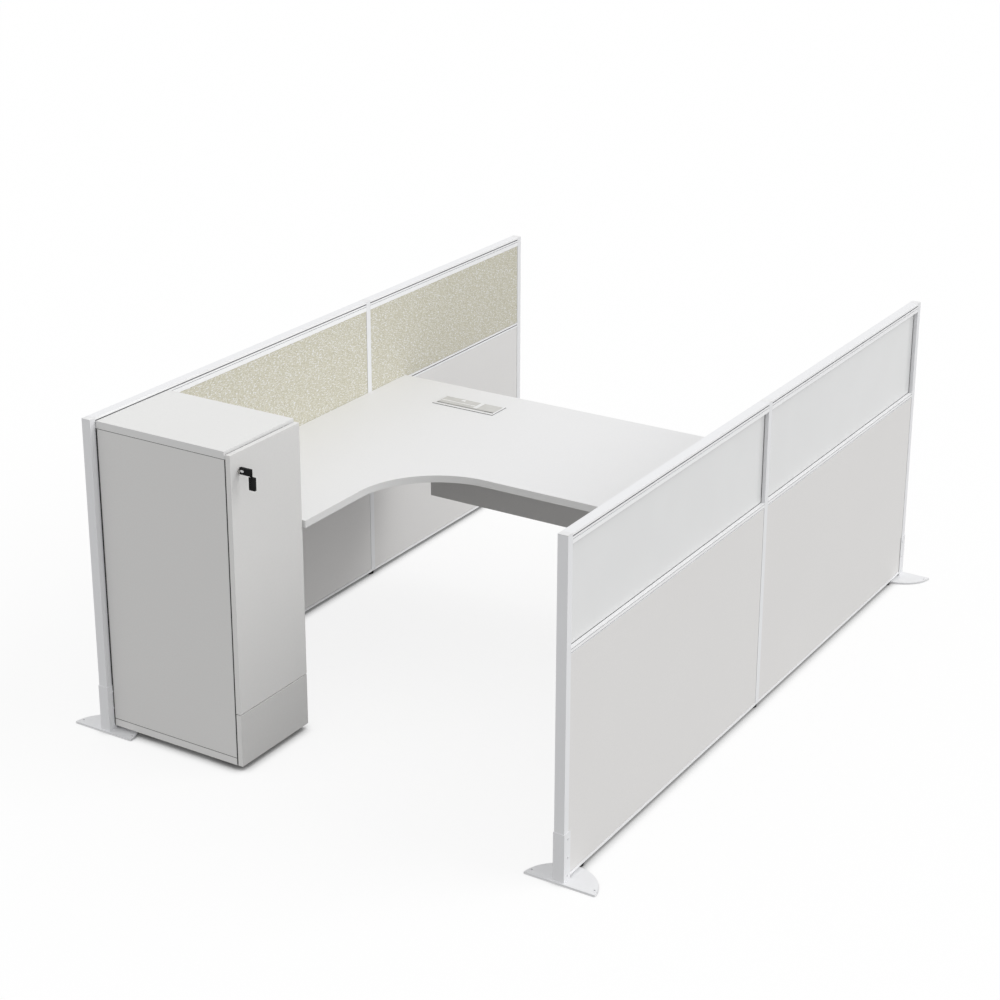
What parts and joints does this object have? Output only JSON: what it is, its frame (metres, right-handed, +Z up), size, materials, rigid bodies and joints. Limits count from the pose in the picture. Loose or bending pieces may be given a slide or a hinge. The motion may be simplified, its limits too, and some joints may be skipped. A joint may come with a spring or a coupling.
{
  "type": "cubicle workstation",
  "caption": "Cubicle workstation: two screen walls on floor plates, a worktop with a return wing and a lidded cable box, and a tall lockable cabinet with a door and a drawer.",
  "frame": {"origin": "middle of the footprint, on the floor", "axes": "+Z up, +Y along the screen walls from the near end towards the back edge of the worktop, +X across the bay from the cabinet's wall to the wall with the panes"},
  "size_m": [1.9852, 2.616, 1.1],
  "materials": {
    "frame_paint": "satin white powder coat",
    "pin_cloth": "heathered beige pinboard cloth",
    "grey_laminate": "matt light warm grey laminate on board",
    "opal_pane": "opal back-painted glass, semi gloss",
    "white_board": "matt white melamine-faced board",
    "locker_board": "matt light grey melamine-faced board",
    "panel_board": "matt warm grey board",
    "bare_steel": "zinc plated steel",
    "bright_metal": "bright plated metal",
    "black_plastic": "matt black plastic",
    "grey_plastic": "grey moulded plastic",
    "gasket_rubber": "dark grey rubber",
    "lid_metal": "satin anodised aluminium",
    "white_plastic": "matt white moulded plastic"
  },
  "bodies": {
    "station": {"left_posts": "frame_paint", "right_posts": "frame_paint", "post_caps": "white_plastic", "left_top_rails": "frame_paint", "right_top_rails": "frame_paint", "left_mid_rails": "frame_paint", "right_mid_rails": "frame_paint", "bottom_rails": "frame_paint", "pinboard_near": "pin_cloth", "pinboard_far": "pin_cloth", "left_tile_near": "grey_laminate", "left_tile_far": "grey_laminate", "left_back_boards": "pin_cloth", "left_back_tiles": "grey_laminate", "right_tile_near": "grey_laminate", "right_tile_far": "grey_laminate", "right_inner_tiles": "grey_laminate", "pane_near": "opal_pane", "pane_far": "opal_pane", "pane_gaskets": "gasket_rubber", "left_feet": "frame_paint", "right_feet": "frame_paint", "foot_screws": "frame_paint", "wall_glides": "black_plastic", "worktop": "white_board", "worktop_brackets": "frame_paint", "fixing_screws": "bare_steel", "modesty_panel": "panel_board", "modesty_angles": "bare_steel", "cable_box": "white_plastic", "lid_rod": "bright_metal", "socket_strip": "grey_plastic", "locker_top": "white_board", "locker_base": "locker_board", "locker_side_near": "locker_board", "locker_side_far": "locker_board", "locker_back": "locker_board", "divider_board": "locker_board", "shelves": "locker_board", "shelf_pins": "bright_metal", "locker_glides": "black_plastic", "front_bumpers": "grey_plastic", "hinge_arms": "bare_steel", "lock_keeper": "bright_metal", "runner_fixed": "bare_steel"},
    "door_leaf": {"locker_door": "locker_board", "hinge_bushes": "grey_plastic", "lock_cylinder": "bright_metal"},
    "lock_core": {"lock_plug": "bare_steel", "lock_cam": "bright_metal"},
    "key_body": {"key": "black_plastic"},
    "grip": {"key_grip": "black_plastic"},
    "drawer": {"drawer_front": "locker_board", "drawer_box": "locker_board", "drawer_bottom": "locker_board", "runner_moving": "bare_steel"},
    "slide_middle": {"runner_middle": "bare_steel"},
    "flap_long": {"long_lid": "lid_metal"},
    "flap_short": {"short_lid": "lid_metal"}
  },
  "joints": [
    {"name": "door_swing", "type": "hinge", "parent": "station", "child": "door_leaf", "pos_m": [-0.321, -0.934, 0.64], "axis": [0, 0, 1], "range_deg": [0, 90]},
    {"name": "lock_turn", "type": "hinge", "parent": "door_leaf", "child": "lock_core", "pos_m": [-0.314, -1.232, 1.017], "axis": [1, 0, 0], "range_deg": [0, 90]},
    {"name": "key_pull", "type": "slide", "parent": "lock_core", "child": "key_body", "axis": [1, 0, 0], "range_m": [0, 0.028]},
    {"name": "grip_fold", "type": "hinge", "parent": "key_body", "child": "grip", "pos_m": [-0.264, -1.232, 1.006], "axis": [0, -1, 0], "range_deg": [0, 90]},
    {"name": "drawer_pull", "type": "slide", "parent": "station", "child": "drawer", "axis": [1, 0, 0], "range_m": [0, 0.4]},
    {"name": "runner_extend", "type": "slide", "parent": "station", "child": "slide_middle", "axis": [1, 0, 0], "range_m": [0, 0.2]},
    {"name": "long_lid_lift", "type": "hinge", "parent": "station", "child": "flap_long", "pos_m": [-0.501, 0.2685, 0.7445], "axis": [1, 0, 0], "range_deg": [0, 100]},
    {"name": "short_lid_lift", "type": "hinge", "parent": "station", "child": "flap_short", "pos_m": [-0.371, 0.2685, 0.7445], "axis": [1, 0, 0], "range_deg": [0, 100]}
  ],
  "couplings": [
    {"joint": "runner_extend", "follows": "drawer_pull", "ratio": 0.5}
  ]
}
